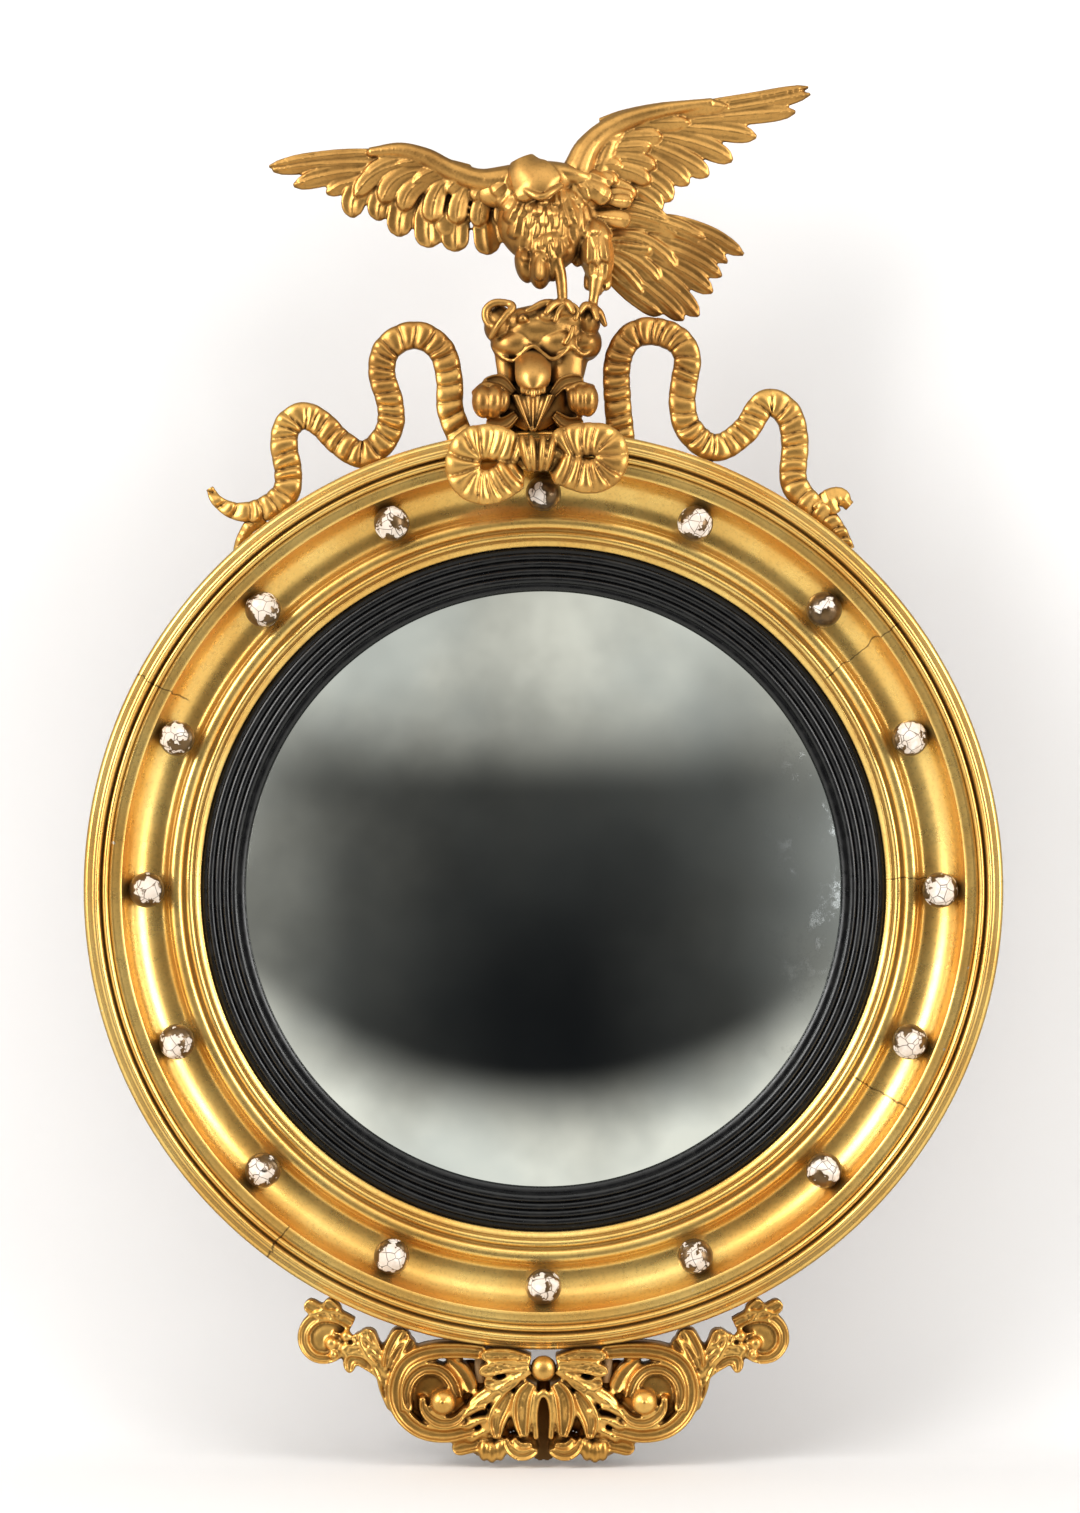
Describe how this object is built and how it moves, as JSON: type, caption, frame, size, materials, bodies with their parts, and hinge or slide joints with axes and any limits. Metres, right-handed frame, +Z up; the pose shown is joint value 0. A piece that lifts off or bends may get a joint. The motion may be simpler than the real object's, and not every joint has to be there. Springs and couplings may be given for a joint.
{
  "type": "convex wall mirror",
  "caption": "Round convex wall mirror in a gilt moulded frame with balls in its cove, a carved eagle crest with pleated ribbons, and a carved leaf and scroll apron.",
  "frame": {"origin": "centre of the round frame, on the face of the backing ring that lies against the wall", "axes": "+Z up the wall, +Y into the wall, +X to the right as the mirror is looked at; the mirror faces -Y"},
  "size_m": [0.69, 0.0951, 1.0436],
  "materials": {
    "gilt_wood": "water gilding over red-brown bole, worn and toned",
    "ball_paint": "dark toned paint flaking off white gesso",
    "ebonised_wood": "ebonised, satin",
    "silvered_glass": "silvered domed glass with slight foxing",
    "pine": "sawn pine, darkened with age",
    "birch": "turned dowel, bare",
    "iron": "forged, dull brown",
    "brass": "rolled and cast, dulled"
  },
  "bodies": {
    "mirror": {"gilt_ring": "gilt_wood", "cove_balls": "ball_paint", "reeded_slip": "ebonised_wood", "mirror_glass": "silvered_glass", "rockwork_plinth": "gilt_wood", "plinth_leaf": "gilt_wood", "left_bud": "gilt_wood", "right_bud": "gilt_wood", "ribbon_bow": "gilt_wood", "left_ribbon": "gilt_wood", "right_ribbon": "gilt_wood", "eagle_body": "gilt_wood", "left_wing": "gilt_wood", "right_wing": "gilt_wood", "eagle_tail": "gilt_wood", "apron_carving": "gilt_wood", "apron_boss": "gilt_wood", "backing_ring": "pine", "backboard_plank_1": "pine", "backboard_plank_2": "pine", "backboard_plank_3": "pine", "backboard_nails": "iron", "packing_wedges": "pine", "ball_brads": "iron", "crest_dowels": "birch", "apron_dowels": "birch", "carving_pins": "iron", "left_hanger_strap": "brass", "right_hanger_strap": "brass", "hanger_screws": "iron"},
    "left_loop": {"left_hanger_loop": "brass"},
    "right_loop": {"right_hanger_loop": "brass"}
  },
  "joints": [
    {"name": "left_loop_hinge", "type": "hinge", "parent": "mirror", "child": "left_loop", "pos_m": [-0.24627, -0.011, 0.12011], "axis": [0.8988, 0, -0.4384], "range_deg": [0, 180]},
    {"name": "right_loop_hinge", "type": "hinge", "parent": "mirror", "child": "right_loop", "pos_m": [0.24627, -0.011, 0.12011], "axis": [0.8988, 0, 0.4384], "range_deg": [0, 180]}
  ]
}
